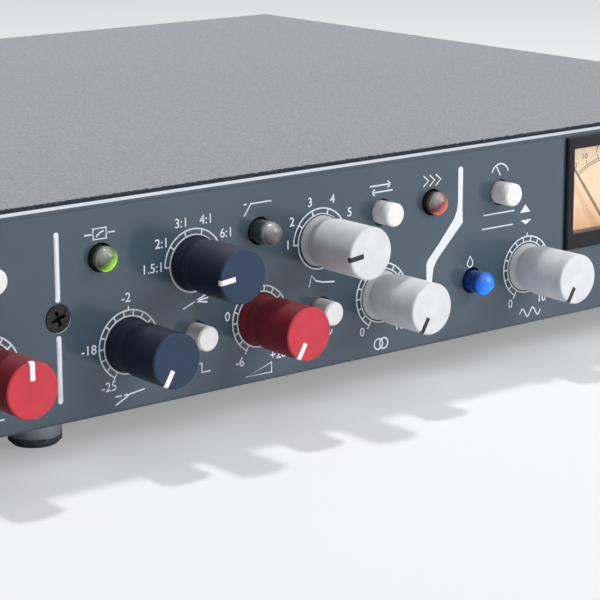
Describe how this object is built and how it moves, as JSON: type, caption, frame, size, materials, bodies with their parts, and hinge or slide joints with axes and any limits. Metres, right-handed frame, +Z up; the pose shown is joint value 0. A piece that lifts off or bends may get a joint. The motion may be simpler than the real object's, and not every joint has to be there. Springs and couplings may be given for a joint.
{
  "type": "rack compressor",
  "caption": "One-unit rack compressor: slotted front panel with knobs, push buttons, needle meter and rocker switch on a folded steel case with rear sockets.",
  "frame": {"origin": "on the floor under the middle of the whole outline, knobs and rear sockets included", "axes": "+X along the front panel to the right seen from the front, +Y back into the case, +Z up"},
  "size_m": [0.4826, 0.2574, 0.0521],
  "materials": {
    "panel": "satin blue-grey paint over bare aluminium edges",
    "case": "fine-textured dark powder coat",
    "screw": "black oxide",
    "plain_steel": "zinc plated",
    "foot": "smoky polyurethane",
    "red_plastic": "soft matt",
    "blue_plastic": "soft matt",
    "white_plastic": "soft matt",
    "ivory_plastic": "satin",
    "clear_green": "translucent, lit from behind",
    "clear_grey": "translucent, unlit",
    "clear_red": "translucent, dimly lit",
    "clear_blue": "translucent, lit from behind",
    "board": "solder mask",
    "black_plastic": "moulded",
    "iron": "wound and wrapped core",
    "dial": "warm cream scale",
    "needle": "black",
    "glass": "clear",
    "metal_shell": "satin die casting"
  },
  "bodies": {
    "unit": {"front_panel": "panel", "panel_screws": "screw", "panel_pillars": "plain_steel", "chassis_tray": "case", "rear_panel": "case", "top_cover": "case", "case_screws": "screw", "feet": "foot", "red_nut_covers": "red_plastic", "blue_nut_covers": "blue_plastic", "white_nut_covers": "white_plastic", "potentiometers": "metal_shell", "push_switches": "black_plastic", "control_board": "board", "main_board": "board", "board_spacers": "plain_steel", "audio_transformers": "iron", "capacitors": "black_plastic", "power_transformer": "iron", "transformer_bolt": "plain_steel", "meter_case": "black_plastic", "meter_glass": "glass", "meter_dial": "dial", "meter_movement": "iron", "power_frame": "black_plastic", "instrument_jack": "black_plastic", "jack_nut": "plain_steel", "xlr_input": "black_plastic", "xlr_output": "metal_shell", "mains_inlet": "black_plastic"},
    "meter_needle": {"meter_needle": "needle"},
    "power_rocker": {"power_rocker": "black_plastic"},
    "input_gain_knob": {"input_gain_knob": "red_plastic"},
    "input_trim_knob": {"input_trim_knob": "white_plastic"},
    "highpass_knob": {"highpass_knob": "blue_plastic"},
    "low_gain_knob": {"low_gain_knob": "white_plastic"},
    "mid_gain_knob": {"mid_gain_knob": "white_plastic"},
    "mid_frequency_knob": {"mid_frequency_knob": "blue_plastic"},
    "high_gain_knob": {"high_gain_knob": "red_plastic"},
    "threshold_knob": {"threshold_knob": "blue_plastic"},
    "ratio_knob": {"ratio_knob": "blue_plastic"},
    "makeup_gain_knob": {"makeup_gain_knob": "red_plastic"},
    "timing_knob": {"timing_knob": "white_plastic"},
    "blend_knob": {"blend_knob": "white_plastic"},
    "texture_knob": {"texture_knob": "white_plastic"},
    "output_level_knob": {"output_level_knob": "white_plastic"},
    "phantom_button": {"phantom_button": "clear_grey"},
    "polarity_button": {"polarity_button": "ivory_plastic"},
    "highpass_button": {"highpass_button": "clear_grey"},
    "equaliser_button": {"equaliser_button": "clear_green"},
    "high_shelf_button": {"high_shelf_button": "ivory_plastic"},
    "compressor_button": {"compressor_button": "clear_green"},
    "insert_button": {"insert_button": "ivory_plastic"},
    "sidechain_filter_button": {"sidechain_filter_button": "clear_grey"},
    "detector_button": {"detector_button": "ivory_plastic"},
    "order_button": {"order_button": "ivory_plastic"},
    "fast_button": {"fast_button": "clear_red"},
    "colour_button": {"colour_button": "clear_blue"},
    "meter_button": {"meter_button": "ivory_plastic"}
  },
  "joints": [
    {"name": "input_gain_turn", "type": "hinge", "parent": "unit", "child": "input_gain_knob", "pos_m": [-0.15015, -0.12035, 0.02186], "axis": [0, 1, 0], "range_deg": [0, 300]},
    {"name": "input_trim_turn", "type": "hinge", "parent": "unit", "child": "input_trim_knob", "pos_m": [-0.1334, -0.12035, 0.03653], "axis": [0, 1, 0], "range_deg": [-150, 150]},
    {"name": "highpass_turn", "type": "hinge", "parent": "unit", "child": "highpass_knob", "pos_m": [-0.11665, -0.12035, 0.02186], "axis": [0, 1, 0], "range_deg": [0, 300]},
    {"name": "low_gain_turn", "type": "hinge", "parent": "unit", "child": "low_gain_knob", "pos_m": [-0.08315, -0.12035, 0.03653], "axis": [0, 1, 0], "range_deg": [-150, 150]},
    {"name": "mid_gain_turn", "type": "hinge", "parent": "unit", "child": "mid_gain_knob", "pos_m": [-0.0664, -0.12035, 0.02186], "axis": [0, 1, 0], "range_deg": [-150, 150]},
    {"name": "mid_frequency_turn", "type": "hinge", "parent": "unit", "child": "mid_frequency_knob", "pos_m": [-0.04965, -0.12035, 0.03653], "axis": [0, 1, 0], "range_deg": [-150, 150]},
    {"name": "high_gain_turn", "type": "hinge", "parent": "unit", "child": "high_gain_knob", "pos_m": [-0.0329, -0.12035, 0.02186], "axis": [0, 1, 0], "range_deg": [-150, 150]},
    {"name": "threshold_turn", "type": "hinge", "parent": "unit", "child": "threshold_knob", "pos_m": [0.0003, -0.12035, 0.02186], "axis": [0, 1, 0], "range_deg": [0, 300]},
    {"name": "ratio_turn", "type": "hinge", "parent": "unit", "child": "ratio_knob", "pos_m": [0.01695, -0.12035, 0.03653], "axis": [0, 1, 0], "range_deg": [0, 180]},
    {"name": "makeup_gain_turn", "type": "hinge", "parent": "unit", "child": "makeup_gain_knob", "pos_m": [0.0338, -0.12035, 0.02186], "axis": [0, 1, 0], "range_deg": [0, 300]},
    {"name": "timing_turn", "type": "hinge", "parent": "unit", "child": "timing_knob", "pos_m": [0.0504, -0.12035, 0.03653], "axis": [0, 1, 0], "range_deg": [0, 180]},
    {"name": "blend_turn", "type": "hinge", "parent": "unit", "child": "blend_knob", "pos_m": [0.0677, -0.12035, 0.02186], "axis": [0, 1, 0], "range_deg": [0, 300]},
    {"name": "texture_turn", "type": "hinge", "parent": "unit", "child": "texture_knob", "pos_m": [0.1121, -0.12035, 0.02186], "axis": [0, 1, 0], "range_deg": [0, 300]},
    {"name": "output_level_turn", "type": "hinge", "parent": "unit", "child": "output_level_knob", "pos_m": [0.181, -0.12035, 0.02186], "axis": [0, 1, 0], "range_deg": [-150, 150]},
    {"name": "phantom_press", "type": "slide", "parent": "unit", "child": "phantom_button", "axis": [0, 1, 0], "range_m": [0, 0.0022], "stiffness_N_per_m": 400},
    {"name": "polarity_press", "type": "slide", "parent": "unit", "child": "polarity_button", "axis": [0, 1, 0], "range_m": [0, 0.0022], "stiffness_N_per_m": 400},
    {"name": "highpass_press", "type": "slide", "parent": "unit", "child": "highpass_button", "axis": [0, 1, 0], "range_m": [0, 0.0022], "stiffness_N_per_m": 400},
    {"name": "equaliser_press", "type": "slide", "parent": "unit", "child": "equaliser_button", "axis": [0, 1, 0], "range_m": [0, 0.0022], "stiffness_N_per_m": 400},
    {"name": "high_shelf_press", "type": "slide", "parent": "unit", "child": "high_shelf_button", "axis": [0, 1, 0], "range_m": [0, 0.0022], "stiffness_N_per_m": 400},
    {"name": "compressor_press", "type": "slide", "parent": "unit", "child": "compressor_button", "axis": [0, 1, 0], "range_m": [-0.0022, 0], "stiffness_N_per_m": 400},
    {"name": "insert_press", "type": "slide", "parent": "unit", "child": "insert_button", "axis": [0, 1, 0], "range_m": [0, 0.0022], "stiffness_N_per_m": 400},
    {"name": "sidechain_filter_press", "type": "slide", "parent": "unit", "child": "sidechain_filter_button", "axis": [0, 1, 0], "range_m": [0, 0.0022], "stiffness_N_per_m": 400},
    {"name": "detector_press", "type": "slide", "parent": "unit", "child": "detector_button", "axis": [0, 1, 0], "range_m": [0, 0.0022], "stiffness_N_per_m": 400},
    {"name": "order_press", "type": "slide", "parent": "unit", "child": "order_button", "axis": [0, 1, 0], "range_m": [0, 0.0022], "stiffness_N_per_m": 400},
    {"name": "fast_press", "type": "slide", "parent": "unit", "child": "fast_button", "axis": [0, 1, 0], "range_m": [-0.0022, 0], "stiffness_N_per_m": 400},
    {"name": "colour_press", "type": "slide", "parent": "unit", "child": "colour_button", "axis": [0, 1, 0], "range_m": [0, 0.0022], "stiffness_N_per_m": 400},
    {"name": "meter_press", "type": "slide", "parent": "unit", "child": "meter_button", "axis": [0, 1, 0], "range_m": [0, 0.0022], "stiffness_N_per_m": 400},
    {"name": "power_rock", "type": "hinge", "parent": "unit", "child": "power_rocker", "pos_m": [0.1985, -0.10901, 0.02993], "axis": [1, 0, 0], "range_deg": [0, 18]},
    {"name": "needle_swing", "type": "hinge", "parent": "unit", "child": "meter_needle", "pos_m": [0.1467, -0.1064, 0.0237], "axis": [0, 1, 0], "range_deg": [0, 74], "stiffness_Nm_per_rad": 0.00002}
  ]
}
